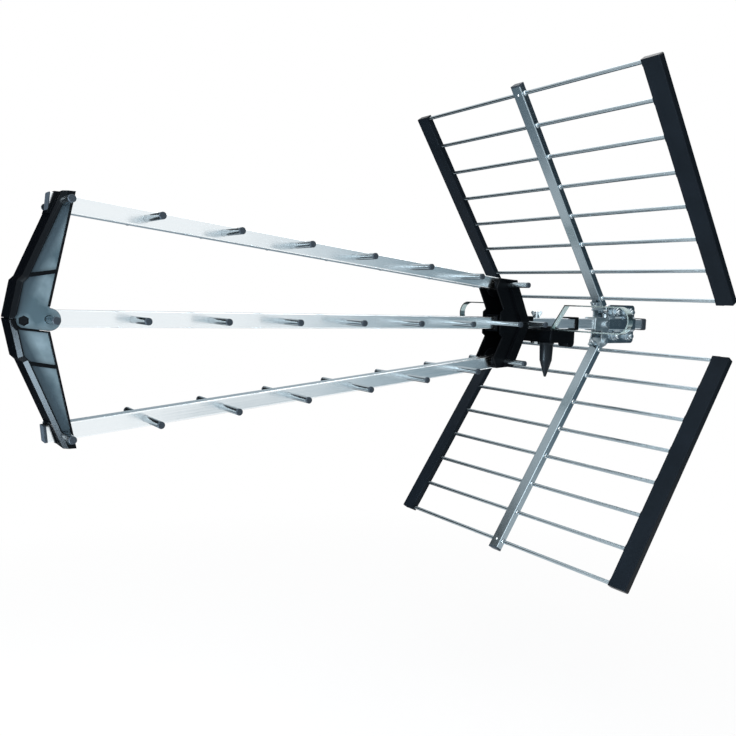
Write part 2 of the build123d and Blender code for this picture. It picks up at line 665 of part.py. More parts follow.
def dipole_box_lid():
    """The bottom lid with its round latch rib, holed for the socket and the wing bolt."""
    middle_y = BOX_FRONT_Y + BOX_LENGTH / 2
    bottom = BOX_TOP_Z - BOX_HEIGHT
    plan = RectangleRounded(BOX_WIDTH, BOX_LENGTH, BOX_CORNER)
    plate = Pos(0, middle_y, bottom) * extrude(plan, LID_THICKNESS)
    latch_y = BOX_FRONT_Y + BOX_LENGTH - LATCH_BACK
    latch = rod_x(2 * LATCH_RADIUS, BOX_WIDTH / 2 - LATCH_LENGTH, BOX_WIDTH / 2, latch_y, bottom)
    below = Box(2 * BOX_WIDTH, 4 * LATCH_RADIUS, 2 * LATCH_RADIUS)
    lower_half = Pos(0, latch_y, bottom - LATCH_RADIUS) * below
    lid = plate + both_sides(latch & lower_half)
    top = bottom + LID_THICKNESS
    lid -= rod_z(SOCKET_FLANGE + 2 * MOULD_FIT, bottom - CUT_OVER, top + CUT_OVER, 0, SOCKET_Y)
    return lid - hub_bolt_hole(bottom, top)


def balun_board():
    """The small circuit board between the dipole terminals and the socket."""
    front = DIPOLE_Y + BOLT_DIAMETER / 2 + BOX_BOSS_WALL + BOARD_MARGIN
    back = BOX_FRONT_Y + BOX_LENGTH - BOX_WALL - BOARD_MARGIN
    width = BOX_WIDTH - 2 * BOX_WALL - 2 * BOARD_MARGIN
    board = extrude(RectangleRounded(width, back - front, BOX_INNER_CORNER), BOARD_THICKNESS)
    return Pos(0, (front + back) / 2, board_top() - BOARD_THICKNESS) * board


def board_top():
    """The height of the board's upper face."""
    return BOX_TOP_Z - BOX_WALL - BOARD_DROP


def coax_socket():
    """The screw socket: round flange on the board and a barrel down through the lid."""
    top = board_top() - BOARD_THICKNESS
    flange_bottom = BOX_TOP_Z - BOX_HEIGHT - SOCKET_FLANGE_STAND
    end = top - SOCKET_LENGTH
    flange = rod_z(SOCKET_FLANGE, flange_bottom, top, 0, SOCKET_Y)
    barrel = rod_z(SOCKET_DIAMETER, end, flange_bottom, 0, SOCKET_Y)
    return flange + barrel - rod_z(SOCKET_BORE, end - CUT_OVER, top - SOCKET_FLOOR, 0, SOCKET_Y)


def socket_boot():
    """The rubber boot over the socket: collar, barrel and a closed pointed tip."""
    collar = BOOT_TOP_DIAMETER / 2
    body = BOOT_BODY_DIAMETER / 2
    waist = body - BOOT_TAPER
    tip = BOOT_TIP_DIAMETER / 2
    edge = [
        (0, 0),
        (collar, 0),
        (collar, -BOOT_COLLAR_HEIGHT),
        (body, -BOOT_COLLAR_HEIGHT - BOOT_COLLAR_SLOPE),
        (waist, -BOOT_STRAIGHT),
        (tip, -BOOT_LENGTH),
        (0, -BOOT_LENGTH),
    ]
    solid = revolve(Plane.XZ * outline_of(edge), Axis.Z)
    bore = (SOCKET_FLANGE + 2 * MOULD_FIT) / 2
    solid -= Pos(0, 0, -BOOT_STRAIGHT / 2) * Cylinder(bore, BOOT_STRAIGHT + 0.01)
    return Pos(0, SOCKET_Y, BOX_TOP_Z - BOX_HEIGHT) * solid


def boom_clip():
    """The black clip on the rear boom behind the dipole box: a band with a tongue above and below."""
    inside = REAR_BOOM_SIDE + 2 * MOULD_FIT
    outside = inside + 2 * CLIP_WALL
    back = CLIP_FRONT_Y + CLIP_LENGTH
    clip = square_bar(outside, outside, CLIP_FRONT_Y, back, CLIP_CORNER)
    clip -= square_bar(inside, inside, CLIP_FRONT_Y - CUT_OVER, back + CUT_OVER, BOOM_CORNER)
    window_length = 2 * (CLIP_LENGTH - CLIP_BAND)
    window = Box(outside + CUT_OVER, window_length, inside - CLIP_TONGUE_TRIM)
    return clip - Pos(0, CLIP_FRONT_Y, 0) * window


# Reflector: every piece is drawn upright, with its rods across X, and leans forward when placed
def reflector_channel(foot):
    """The rectangular tube that carries the rods of the upper grid, with its foot below the lowest rod."""
    length = reflector_head() + foot
    tube = extrude(Pos(0, 0, -foot) * RectangleRounded(CHANNEL_WIDTH, CHANNEL_DEPTH, CHANNEL_CORNER), length)
    core = Rectangle(CHANNEL_WIDTH - 2 * CHANNEL_WALL, CHANNEL_DEPTH - 2 * CHANNEL_WALL)
    tube -= extrude(Pos(0, 0, -foot - CUT_OVER) * core, length + 2 * CUT_OVER)
    for z in reflector_stations():
        half = CHANNEL_WIDTH / 2 + CUT_OVER
        tube -= rod_x(REFLECTOR_ROD_DIAMETER + 2 * PUSH_FIT, -half, half, 0, z)
    if foot > -FOOT_BOLT_S:
        tube -= bolt_hole_x(CHANNEL_WIDTH, 0, FOOT_BOLT_S)
    tube -= screw_hole_y(FOOT_SCREW_S)
    return UPPER_PANEL * tube


def reflector_head():
    """The height of the channel's open top above the lowest rod."""
    return reflector_stations()[-1] + CHANNEL_HEAD


def reflector_stations():
    """The heights of the grid's rods above the lowest one."""
    return [i * REFLECTOR_ROD_PITCH for i in range(REFLECTOR_ROD_COUNT)]


def bolt_hole_x(width, y, z):
    """The cutter for a bolt right across a piece."""
    half = width / 2 + CUT_OVER
    return rod_x(BOLT_DIAMETER + 2 * BOLT_FIT, -half, half, y, z)


def screw_hole_y(z):
    """The cutter for the wing screw, which crosses the channel from back to front."""
    hole = Rot(90, 0, 0) * Cylinder(BOLT_DIAMETER / 2 + BOLT_FIT, CHANNEL_DEPTH + 2 * CUT_OVER)
    return Pos(0, 0, z) * hole


def channel_plug():
    """The black plug in the channel's outer end."""
    head = reflector_head()
    outline = RectangleRounded(CHANNEL_WIDTH, CHANNEL_DEPTH, CHANNEL_CORNER)
    flange = extrude(Pos(0, 0, head) * outline, CHANNEL_PLUG_FLANGE)
    trim = 2 * CHANNEL_WALL + 2 * PUSH_FIT
    depth = CHANNEL_HEAD - REFLECTOR_ROD_DIAMETER / 2 - CHANNEL_PLUG_GAP
    spigot = extrude(Pos(0, 0, head - depth) * Rectangle(CHANNEL_WIDTH - trim, CHANNEL_DEPTH - trim), depth)
    return UPPER_PANEL * (flange + spigot)


def reflector_rods():
    """The rods of the upper grid, each a solid of its own."""
    reach = REFLECTOR_HALF_SPAN + ROD_SEAT
    return [UPPER_PANEL * rod_x(REFLECTOR_ROD_DIAMETER, -reach, reach, 0, z) for z in reflector_stations()]


def reflector_bar():
    """The moulded side bar on the near ends of the upper grid's rods, open at the back."""
    stations = reflector_stations()
    length = stations[-1] + 2 * BAR_END
    middle_z = stations[-1] / 2
    middle_x = REFLECTOR_HALF_SPAN + BAR_WIDTH / 2
    bar = Pos(middle_x, 0, middle_z) * Box(BAR_WIDTH, BAR_DEPTH, length)
    bar = fillet(bar.edges().filter_by(Axis.Y), BAR_CORNER)
    front = bar.faces().sort_by(Axis.Y)[0]
    bar = fillet(front.edges(), BAR_CORNER / 2)
    hollow = Box(BAR_WIDTH - 2 * BAR_WALL, BAR_DEPTH, length - 2 * BAR_WALL)
    bar -= Pos(middle_x, BAR_WALL, middle_z) * hollow
    seat_x = REFLECTOR_HALF_SPAN + (ROD_SEAT + BAR_WALL) / 2
    for z in stations:
        seat_height = min(REFLECTOR_ROD_DIAMETER + 2 * BAR_WALL, 2 * BAR_END)
        bar += Pos(seat_x, 0, z) * Box(ROD_SEAT + BAR_WALL, BAR_DEPTH, seat_height)
        end = REFLECTOR_HALF_SPAN + ROD_SEAT + PUSH_FIT
        bar -= rod_x(REFLECTOR_ROD_DIAMETER + 2 * PUSH_FIT, REFLECTOR_HALF_SPAN - CUT_OVER, end, 0, z)
    return UPPER_PANEL * bar


# Reflector bracket: pressed steel, two cheeks over the boom and a folded web behind each channel foot
def panel_point(y, z):
    """A place on the upper grid, in Y and Z of the whole aerial."""
    place = UPPER_PANEL * Pos(0, y, z)
    return place.position.Y, place.position.Z


def boom_bolt_place():
    """Where the bracket's middle bolt crosses the rear boom: straight below the foot bolt."""
    y, _ = panel_point(0, FOOT_BOLT_S)
    return y, 0.0


def cheek_block():
    """The part of a cheek that lies on the side of the boom."""
    length = CHEEK_BACK_Y - CHEEK_FRONT_Y
    middle = (CHEEK_BACK_Y + CHEEK_FRONT_Y) / 2
    return Pos(middle, 0) * RectangleRounded(length, 2 * CHEEK_HEIGHT, CHEEK_CORNER)


def cheek_arm(radius):
    """The arm of a cheek, from the boom up to a channel foot, with a toe that ends at the web."""
    bolt_y, bolt_z = panel_point(0, FOOT_BOLT_S)
    toe_y, toe_z = panel_point(-web_face() + TOE_RADIUS, FOOT_SCREW_S - TOE_RADIUS / 2)
    foot_eye = Pos(bolt_y, bolt_z) * Circle(radius)
    boom_eye = Pos(bolt_y, 0) * Circle(radius)
    toe = Pos(toe_y, toe_z) * Circle(TOE_RADIUS)
    return make_hull((foot_eye + boom_eye).edges()) + make_hull((foot_eye + toe).edges())


def web_face():
    """How far the front face of the folded web lies before the middle of the channel."""
    return CHANNEL_DEPTH / 2 + MOULD_FIT + CHEEK_THICKNESS


def foot_web(near_x):
    """The folded web across the front of the upper channel's foot, from the far cheek to a place along X."""
    middle_s = FOOT_BOLT_S + FOOT_WEB_LENGTH / 2 - FOOT_WEB_SET
    width = near_x + CHEEK_OUTER_X
    place = Pos((near_x - CHEEK_OUTER_X) / 2, CHEEK_THICKNESS / 2 - web_face(), middle_s)
    return UPPER_PANEL * (place * Box(width, CHEEK_THICKNESS, FOOT_WEB_LENGTH) - screw_hole_y(FOOT_SCREW_S))


def reflector_bracket():
    """The pressed bracket on the rear boom: a far cheek with two arms and a near cheek with the lower one."""
    lower_arm = mirror(cheek_arm(ARM_RADIUS), about=Plane.XZ)
    near = side_plate(cheek_block() + lower_arm, CHEEK_INNER_X, CHEEK_OUTER_X)
    far_outline = cheek_block() + lower_arm + cheek_arm(UPPER_ARM_RADIUS)
    far = side_plate(far_outline, -CHEEK_OUTER_X, -CHEEK_INNER_X)
    web_bottom = REAR_BOOM_HALF + MOULD_FIT
    web_height = CHEEK_HEIGHT - web_bottom
    web_y = CHEEK_FRONT_Y + CHEEK_CORNER + BOOM_WEB_LENGTH / 2
    web = Pos(0, web_y, web_bottom + web_height / 2) * Box(2 * CHEEK_OUTER_X, BOOM_WEB_LENGTH, web_height)
    bracket = near + far + web + mirror(web, about=Plane.XY)
    bracket += foot_web(CHANNEL_WIDTH / 2) + mirror(foot_web(CHEEK_OUTER_X), about=Plane.XY)
    bolt_y, bolt_z = panel_point(0, FOOT_BOLT_S)
    for z in (0, -bolt_z):
        bracket -= bolt_hole_x(2 * CHEEK_OUTER_X, bolt_y, z)
    return bracket


def bracket_bolt(y, z):
    """A hex bolt across the bracket, head on the near side and nut on the far side."""
    face = CHEEK_OUTER_X
    shank = rod_x(BOLT_DIAMETER, -face - BOLT_NUT_HEIGHT - BOLT_END, face, y, z)
    head = Pos(face, y, z) * Rot(0, 90, 0) * hex_prism(BOLT_HEAD_FLATS, BOLT_HEAD_HEIGHT)
    nut = Pos(-face - BOLT_NUT_HEIGHT, y, z) * Rot(0, 90, 0) * hex_prism(BOLT_HEAD_FLATS, BOLT_NUT_HEIGHT)
    nut -= rod_x(BOLT_DIAMETER, -face - BOLT_NUT_HEIGHT, -face, y, z)
    return [shank + head, nut]


def bracket_bolts():
    """The two bolts and nuts that go across the bracket, through the boom and the lower channel."""
    y, z = panel_point(0, FOOT_BOLT_S)
    return bracket_bolt(y, 0) + bracket_bolt(y, -z)


def foot_screw():
    """The screw from behind through the upper channel and the folded web."""
    back = CHANNEL_DEPTH / 2
    length = back + web_face() + WING_HUB_HEIGHT + SCREW_END
    shank = Pos(0, back - length / 2, FOOT_SCREW_S) * Rot(90, 0, 0) * Cylinder(BOLT_DIAMETER / 2, length)
    head = Pos(0, back + SCREW_HEAD_HEIGHT / 2, FOOT_SCREW_S) * Rot(90, 0, 0)
    head = head * Cylinder(SCREW_HEAD_DIAMETER / 2, SCREW_HEAD_HEIGHT)
    return UPPER_PANEL * (shank + head)


# Fasteners that share one form
def wing_nut():
    """A wing nut standing on the ground plane, with its wings along X."""
    hub = Cone(WING_HUB_DIAMETER / 2, WING_HUB_DIAMETER / 2 - WING_HUB_TAPER, WING_HUB_HEIGHT)
    nut = Pos(0, 0, WING_HUB_HEIGHT / 2) * hub
    ear = Pos(WING_SPAN / 2 - WING_EAR_RADIUS, WING_HEIGHT - WING_EAR_RADIUS) * Circle(WING_EAR_RADIUS)
    root = Pos(WING_HUB_DIAMETER / 2 - WING_ROOT_SET, WING_HUB_HEIGHT / 2) * Circle(WING_HUB_HEIGHT / 2)
    wing = make_hull((ear + root).edges())
    plane = Plane((0, WING_THICKNESS / 2, 0), x_dir=(1, 0, 0), z_dir=(0, -1, 0))
    nut += both_sides(extrude(plane * wing, WING_THICKNESS))
    return nut - Cylinder(BOLT_DIAMETER / 2, 4 * WING_HUB_HEIGHT)


def wing_nuts():
    """The wing nut on the boom and the two on the channel feet."""
    hub_nut = Pos(0, DIPOLE_Y, REAR_BOOM_HALF) * Rot(0, 0, HUB_NUT_TURN) * wing_nut()
    seat = Pos(0, -web_face(), FOOT_SCREW_S) * Rot(90, 0, 0)
    foot_nut = UPPER_PANEL * seat * Rot(0, 0, FOOT_NUT_TURN) * wing_nut()
    return [hub_nut, foot_nut, mirror(foot_nut, about=Plane.XY)]


def hub_bolt():
    """The long bolt up through the dipole box and the rear boom."""
    bottom = BOX_TOP_Z - BOX_HEIGHT
    top = REAR_BOOM_HALF + WING_HUB_HEIGHT + SCREW_END
    head = Pos(0, DIPOLE_Y, bottom - BOLT_HEAD_HEIGHT) * hex_prism(BOLT_HEAD_FLATS, BOLT_HEAD_HEIGHT)
    return rod_z(BOLT_DIAMETER, bottom, top, 0, DIPOLE_Y) + head


def front_bracket_bolt():
    """The hex bolt and nut that tie the two halves of the front bracket."""
    y, z = hex_place()
    seat = FRONT_BRACKET_WIDTH / 2 - HEX_RECESS_DEPTH
    height = HEX_RECESS_DEPTH - PANEL_DEPTH - HEX_HEAD_SINK
    shank = rod_x(HEX_BOLT_DIAMETER, -seat - height, seat, y, z)
    head = Pos(seat, y, z) * Rot(0, 90, 0) * hex_prism(HEX_BOLT_FLATS, height)
    nut = Pos(-seat - height, y, z) * Rot(0, 90, 0) * hex_prism(HEX_BOLT_FLATS, height)
    nut -= rod_x(HEX_BOLT_DIAMETER, -seat - height, seat, y, z)
    return [shank + head, nut]


# Mast clamp: a stepped plate on the near side of the boom, a jaw on the far side and two U-bolts
def clamp_plate():
    """The pressed plate, stepped out over the boom, with slots and holes for the U-bolt legs."""
    mid = REAR_BOOM_HALF
    step = CLAMP_STEP
    t = CLAMP_THICKNESS
    channel = CLAMP_CHANNEL_HALF
    top = CLAMP_HEIGHT / 2
    section = [
        (mid + t, 0),
        (mid + t, channel),
        (mid + t - step, channel + step),
        (mid + t - step, top),
        (mid - step, top),
        (mid - step, channel + step - CLAMP_BEND_SET),
        (mid, channel - CLAMP_BEND_SET),
        (mid, 0),
    ]
    half = outline_of(section)
    whole = half + mirror(half, about=Plane.XZ)
    near_bends = [(mid + t, channel), (mid - step, channel + step - CLAMP_BEND_SET)]
    far_bends = [(mid + t - step, channel + step), (mid, channel - CLAMP_BEND_SET)]
    for places, radius in ((near_bends, CLAMP_OUTER_BEND), (far_bends, CLAMP_INNER_BEND)):
        corners = []
        for corner in whole.vertices():
            if any(abs(corner.X - x) + abs(abs(corner.Y) - z) < 0.01 for x, z in places):
                corners.append(corner)
        whole = fillet(corners, radius)
    plane = Plane((0, CLAMP_LENGTH / 2, 0), x_dir=(1, 0, 0), z_dir=(0, -1, 0))
    plate = extrude(plane * whole, CLAMP_LENGTH)
    trim = side_plate(RectangleRounded(CLAMP_LENGTH, CLAMP_HEIGHT, CLAMP_CORNER), -mid, 3 * mid)
    plate &= trim
    slot = Pos(CLAMP_SLOT_Y, 0) * SlotOverall(CLAMP_SLOT_LENGTH, CLAMP_SLOT_WIDTH, rotation=90)
    plate -= side_plate(slot, 0, 2 * mid)
    return plate - u_bolt_holes()


def u_bolt_places():
    """The Y and Z of the four U-bolt legs."""
    return [(y, z) for z in (U_BOLT_Z, -U_BOLT_Z) for y in (U_BOLT_RADIUS, -U_BOLT_RADIUS)]


def u_bolt_holes():
    """Cutters for the four U-bolt legs."""
    cut = None
    for y, z in u_bolt_places():
        hole = rod_x(U_BOLT_DIAMETER + 2 * BOLT_FIT, MAST_X - CUT_OVER, 2 * REAR_BOOM_SIDE, y, z)
        cut = hole if cut is None else cut + hole
    return cut


def clamp_jaw():
    """The pressed jaw: a round seat for the tube it grips, with an ear on each side."""
    seat = Pos(MAST_X, 0) * Circle(MAST_RADIUS + CLAMP_THICKNESS)
    lip_x = MAST_X + JAW_LIP
    ear = Pos(lip_x + CLAMP_THICKNESS / 2, 0) * Rectangle(CLAMP_THICKNESS, 2 * JAW_EAR)
    keep = Pos(lip_x + 2 * MAST_RADIUS, 0) * Rectangle(4 * MAST_RADIUS, 4 * JAW_EAR)
    section = ((seat + ear) - Pos(MAST_X, 0) * Circle(MAST_RADIUS)) & keep
    jaw = Pos(0, 0, -JAW_HEIGHT / 2) * extrude(section, JAW_HEIGHT)
    return jaw - u_bolt_holes()


def u_bolt():
    """One U-bolt, bent round the far side of the clamp's bore at mid height."""
    end_x = wing_face_x() + M6_WASHER_THICKNESS + M6_NUT_HEIGHT + U_BOLT_END
    path = Line((end_x, U_BOLT_RADIUS), (MAST_X, U_BOLT_RADIUS))
    path += ThreePointArc((MAST_X, U_BOLT_RADIUS), (MAST_X - U_BOLT_RADIUS, 0), (MAST_X, -U_BOLT_RADIUS))
    path += Line((MAST_X, -U_BOLT_RADIUS), (end_x, -U_BOLT_RADIUS))
    start = Plane((end_x, U_BOLT_RADIUS, 0), x_dir=(0, 1, 0), z_dir=(-1, 0, 0))
    return sweep(start * Circle(U_BOLT_DIAMETER / 2), path=path)


def wing_face_x():
    """The near face of the clamp plate's upper and lower wings."""
    return REAR_BOOM_HALF + CLAMP_THICKNESS - CLAMP_STEP


def clamp_nuts():
    """A washer and a nut on each U-bolt leg."""
    pieces = []
    for y, z in u_bolt_places():
        seat = Pos(wing_face_x(), y, z) * Rot(0, 90, 0)
        washer = seat * extrude(Circle(M6_WASHER_DIAMETER / 2), M6_WASHER_THICKNESS)
        nut = seat * Pos(0, 0, M6_WASHER_THICKNESS) * hex_prism(M6_NUT_FLATS, M6_NUT_HEIGHT)
        hole = rod_x(U_BOLT_DIAMETER, 0, 3 * REAR_BOOM_SIDE, y, z)
        pieces += [washer - hole, nut - hole]
    return pieces


# Every piece by its node name, each a solid or a list of like solids
def all_pieces():
    """The whole aerial as a dictionary from node name to solids."""
    pieces = {
        "front_boom_upper": UPPER_BOOM * front_boom(UPPER_BOOM_FRONT),
        "front_boom_centre": CENTRE_BOOM * front_boom(BOOM_OVERHANG),
        "front_boom_lower": mirror(UPPER_BOOM * front_boom(LOWER_BOOM_FRONT), about=Plane.XY),
        "rear_boom": rear_boom(),
    }
    upper_plug = UPPER_BOOM * boom_plug(UPPER_BOOM_FRONT, UPPER_PLUG_FLANGE)
    lower_plug = mirror(UPPER_BOOM * boom_plug(LOWER_BOOM_FRONT, LOWER_PLUG_FLANGE), about=Plane.XY)
    pieces["boom_end_plugs"] = [upper_plug, lower_plug, rear_cap()]
    plugs = []
    for i, station in enumerate(ROD_STATIONS):
        if i == 0:
            name = "rear_bracket_rod"
        elif i == len(ROD_STATIONS) - 1:
            name = "front_bracket_rod"
        else:
            name = "director"
        number = f"_{len(ROD_STATIONS) - 1 - i}" if name == "director" else ""
        upper_place = UPPER_BOOM * Pos(0, station, 0)
        centre_place = CENTRE_BOOM * Pos(0, station, 0)
        pieces[f"{name}_upper{number}"] = upper_place * rod()
        pieces[f"{name}_centre{number}"] = centre_place * rod()
        pieces[f"{name}_lower{number}"] = mirror(upper_place * rod(), about=Plane.XY)
        for plug in rod_plugs():
            plugs += [upper_place * plug, centre_place * plug, mirror(upper_place * plug, about=Plane.XY)]
    pieces["hub_rod"] = Pos(0, HUB_ROD_Y, 0) * rod()
    plugs += [Pos(0, HUB_ROD_Y, 0) * plug for plug in rod_plugs()]
    pieces["rod_end_plugs"] = plugs
    pieces["front_bracket_upper"] = front_bracket_upper()
    pieces["front_bracket_lower"] = front_bracket_lower()
    pieces["front_bracket_bolt"] = front_bracket_bolt()
    pieces["rear_bracket"] = rear_bracket()
    pieces["hub_bolt"] = hub_bolt()
    pieces["wing_nuts"] = wing_nuts()
    near_dipole = dipole_half()
    pieces["dipole_near"] = near_dipole
    pieces["dipole_far"] = mirror(near_dipole, about=Plane.YZ)
    pieces["dipole_box"] = dipole_box()
    pieces["dipole_box_lid"] = dipole_box_lid()
    pieces["balun_board"] = balun_board()
    pieces["coax_socket"] = coax_socket()
    pieces["socket_boot"] = socket_boot()
    pieces["boom_clip"] = boom_clip()
    plug = channel_plug()
    bar = reflector_bar()
    far_bar = mirror(bar, about=Plane.YZ)
    rods = reflector_rods()
    pieces["reflector_channel_upper"] = reflector_channel(UPPER_CHANNEL_FOOT)
    pieces["reflector_channel_lower"] = mirror(reflector_channel(LOWER_CHANNEL_FOOT), about=Plane.XY)
    pieces["channel_end_plugs"] = [plug, mirror(plug, about=Plane.XY)]
    pieces["reflector_bar_upper_near"] = bar
    pieces["reflector_bar_upper_far"] = far_bar
    pieces["reflector_bar_lower_near"] = mirror(bar, about=Plane.XY)
    pieces["reflector_bar_lower_far"] = mirror(far_bar, about=Plane.XY)
    pieces["reflector_rods_upper"] = rods
    pieces["reflector_rods_lower"] = [mirror(one, about=Plane.XY) for one in rods]
    pieces["reflector_bracket"] = reflector_bracket()
    screw = foot_screw()
    pieces["bracket_bolts"] = bracket_bolts() + [screw, mirror(screw, about=Plane.XY)]
    pieces["clamp_plate"] = clamp_plate()
    pieces["clamp_jaw"] = clamp_jaw()
    pieces["clamp_u_bolts"] = [Pos(0, 0, z) * u_bolt() for z in (U_BOLT_Z, -U_BOLT_Z)]
    pieces["clamp_nuts"] = clamp_nuts()
    return pieces


os.makedirs("parts", exist_ok=True)
TO_CLAMP_AXIS = Pos(-MAST_X, 0, 0)
for node, shape in all_pieces().items():
    if isinstance(shape, list):
        placed = Compound(children=[TO_CLAMP_AXIS * one for one in shape])
    else:
        placed = TO_CLAMP_AXIS * shape
    export_step(placed, f"parts/{node}.step")
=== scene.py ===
import math
import bpy
from mathutils import Matrix, Vector


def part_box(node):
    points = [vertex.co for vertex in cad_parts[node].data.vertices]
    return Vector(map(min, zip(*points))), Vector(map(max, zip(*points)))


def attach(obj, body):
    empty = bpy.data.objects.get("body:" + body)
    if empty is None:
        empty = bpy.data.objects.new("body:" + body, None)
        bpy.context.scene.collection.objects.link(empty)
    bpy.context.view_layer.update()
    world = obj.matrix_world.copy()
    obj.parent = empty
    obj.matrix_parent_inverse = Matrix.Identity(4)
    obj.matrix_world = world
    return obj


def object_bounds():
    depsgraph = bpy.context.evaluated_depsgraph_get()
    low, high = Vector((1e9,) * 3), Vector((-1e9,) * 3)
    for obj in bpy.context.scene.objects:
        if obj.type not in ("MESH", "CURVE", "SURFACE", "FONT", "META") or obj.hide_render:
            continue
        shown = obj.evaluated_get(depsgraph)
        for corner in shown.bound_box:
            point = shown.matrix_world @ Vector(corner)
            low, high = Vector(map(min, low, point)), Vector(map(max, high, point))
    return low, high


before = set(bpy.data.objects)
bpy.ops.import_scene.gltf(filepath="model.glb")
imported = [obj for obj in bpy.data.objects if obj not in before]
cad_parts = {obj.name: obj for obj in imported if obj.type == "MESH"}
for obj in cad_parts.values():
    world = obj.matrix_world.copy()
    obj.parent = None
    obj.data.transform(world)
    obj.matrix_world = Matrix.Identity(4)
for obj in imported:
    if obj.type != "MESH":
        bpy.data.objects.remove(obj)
cad_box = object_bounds()


# Front booms and rear boom
# Square tubes rolled from aluminium strip, left bare: satin metal with fine lines along the tube and a
# slight waviness, so that it takes its tone softly from whatever stands round it. The lines are drawn
# 0.6 mm apart, some four times too coarse, because finer ones would not show.
def linear(colour):
    """An sRGB hex colour as the linear colour that a shader wants."""
    parts = [int(colour[i:i + 2], 16) / 255 for i in (1, 3, 5)]
    return [c / 12.92 if c <= 0.04045 else ((c + 0.055) / 1.055) ** 2.4 for c in parts] + [1.0]


def add(tree, kind, inputs=None, **settings):
    """Adds one node with its settings, and links or sets its inputs."""
    made = tree.nodes.new(kind)
    for name, value in settings.items():
        setattr(made, name, value)
    for key, value in (inputs or {}).items():
        if isinstance(value, bpy.types.NodeSocket):
            tree.links.new(value, made.inputs[key])
        else:
            made.inputs[key].default_value = value
    return made


def maths(tree, operation, first, second=0.0):
    """One sum on two numbers."""
    return add(tree, "ShaderNodeMath", {0: first, 1: second}, operation=operation).outputs[0]


def ranged(tree, value, low, high, start=0.0, end=1.0):
    """A number moved from one range into another, and held at its ends."""
    inputs = {0: value, 1: start, 2: end, 3: low, 4: high}
    return add(tree, "ShaderNodeMapRange", inputs).outputs[0]


def rises(tree, value, start, end):
    """A ramp from nought at the start to one at the end."""
    return ranged(tree, value, 0.0, 1.0, start, end)


def falls(tree, value, start, end):
    """A ramp from one at the start to nought at the end."""
    return ranged(tree, value, 1.0, 0.0, start, end)


def mixed(tree, factor, low, high):
    """A colour that goes from low to high with a factor."""
    ends = [linear(c) if isinstance(c, str) else c for c in (low, high)]
    return add(tree, "ShaderNodeMix", {0: factor, 6: ends[0], 7: ends[1]}, data_type="RGBA").outputs[2]


def own_place(tree):
    """The place on the object, in metres."""
    return add(tree, "ShaderNodeTexCoord").outputs["Object"]


def grain_along(tree, axis, fine, long, turn=0.0):
    """Noise drawn out along one axis of the object: fine across and long along, both in metres."""
    scale = [1 / fine, 1 / fine, 1 / fine]
    scale["XYZ".index(axis)] = 1 / long
    turned = add(tree, "ShaderNodeMapping", {"Vector": own_place(tree), "Rotation": (turn, 0.0, 0.0)})
    spread = add(tree, "ShaderNodeMapping", {"Vector": turned.outputs[0], "Scale": scale})
    inputs = {"Vector": spread.outputs[0], "Scale": 1.0, "Detail": 3.0}
    return add(tree, "ShaderNodeTexNoise", inputs).outputs[0]


def cloud(tree, size, detail=3.0):
    """Round soft patches of a real size in metres."""
    inputs = {"Vector": own_place(tree), "Scale": 1 / size, "Detail": detail}
    return add(tree, "ShaderNodeTexNoise", inputs).outputs[0]


def raised(tree, height, distance, strength, under=None):
    """A surface that is raised where the height is high, over another one if given."""
    inputs = {"Height": height, "Distance": distance, "Strength": strength}
    if under:
        inputs["Normal"] = under
    return add(tree, "ShaderNodeBump", inputs).outputs[0]


def finish(name, build):
    """A material whose surface is built by a function that returns the inputs of its shader."""
    material = bpy.data.materials.new(name)
    material.use_nodes = True
    tree = material.node_tree
    tree.nodes.clear()
    shader = add(tree, "ShaderNodeBsdfPrincipled", build(tree))
    add(tree, "ShaderNodeOutputMaterial", {0: shader.outputs[0]})
    return material


ROLL_LINE = 0.0006
ROLL_LINE_LENGTH = 0.15
TUBE_WAVE = 0.03


def rolled_aluminium(name, low, high, roughness, turn=0.0):
    """Bare rolled aluminium: fine roll lines along the tube over a slight waviness."""
    def surface(tree):
        lines = grain_along(tree, "Y", ROLL_LINE, ROLL_LINE_LENGTH, math.radians(turn))
        waves = raised(tree, cloud(tree, TUBE_WAVE, 1.0), 0.0004, 0.3)
        return {
            "Base Color": mixed(tree, lines, low, high),
            "Metallic": 1.0,
            "Roughness": ranged(tree, lines, roughness - 0.04, roughness + 0.05, 0.3, 0.7),
            "Normal": raised(tree, lines, 0.0001, 0.06, waves),
        }
    return finish(name, surface)


EDGE_ROUNDING = 0.00025
EDGE_ANGLE = math.radians(32)


def dress(material, slot, *names, rounding=EDGE_ROUNDING, tight=False):
    """Gives pieces of the frame their material, and rounds their edges, less where corners are tight."""
    for name in names:
        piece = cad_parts[name]
        for place in piece.material_slots:
            place.material = material
        if rounding:
            weld = piece.modifiers.new("joined", "WELD")
            weld.merge_threshold = 0.000005
            edges = piece.modifiers.new("rounded_edges", "BEVEL")
            edges.width = rounding
            edges.segments = 2
            edges.limit_method = "ANGLE"
            edges.angle_limit = EDGE_ANGLE
            edges.use_clamp_overlap = tight
            edges.loop_slide = False
            edges.harden_normals = True


BOOM_SPLAY = 5.6
for level, turn in (("upper", BOOM_SPLAY), ("centre", 0.0), ("lower", -BOOM_SPLAY)):
    tube_finish = rolled_aluminium(f"rolled_aluminium_{level}_boom", "#e6eff3", "#f6f9fb", 0.19, turn)
    dress(tube_finish, "boom_aluminium", f"front_boom_{level}", rounding=None)
# The rear boom is given a little darker than the front booms as painted shade, for the back of the aerial
# lies in the shade of its brackets.
rear_tube_shaded_finish = rolled_aluminium("rolled_aluminium_rear_boom_painted_shade", "#dfe8ee", "#eef4f7", 0.3)
dress(rear_tube_shaded_finish, "boom_aluminium", "rear_boom", rounding=None)


# Director rods and bracket rods
# Round rods drawn from aluminium and cut to one length, pushed through the booms and held there.
# Drawing leaves thin lines along each rod, which streak its sheen, and dark moulded plugs shut the ends.
DRAW_LINE = 0.0004
DRAW_LINE_LENGTH = 0.04


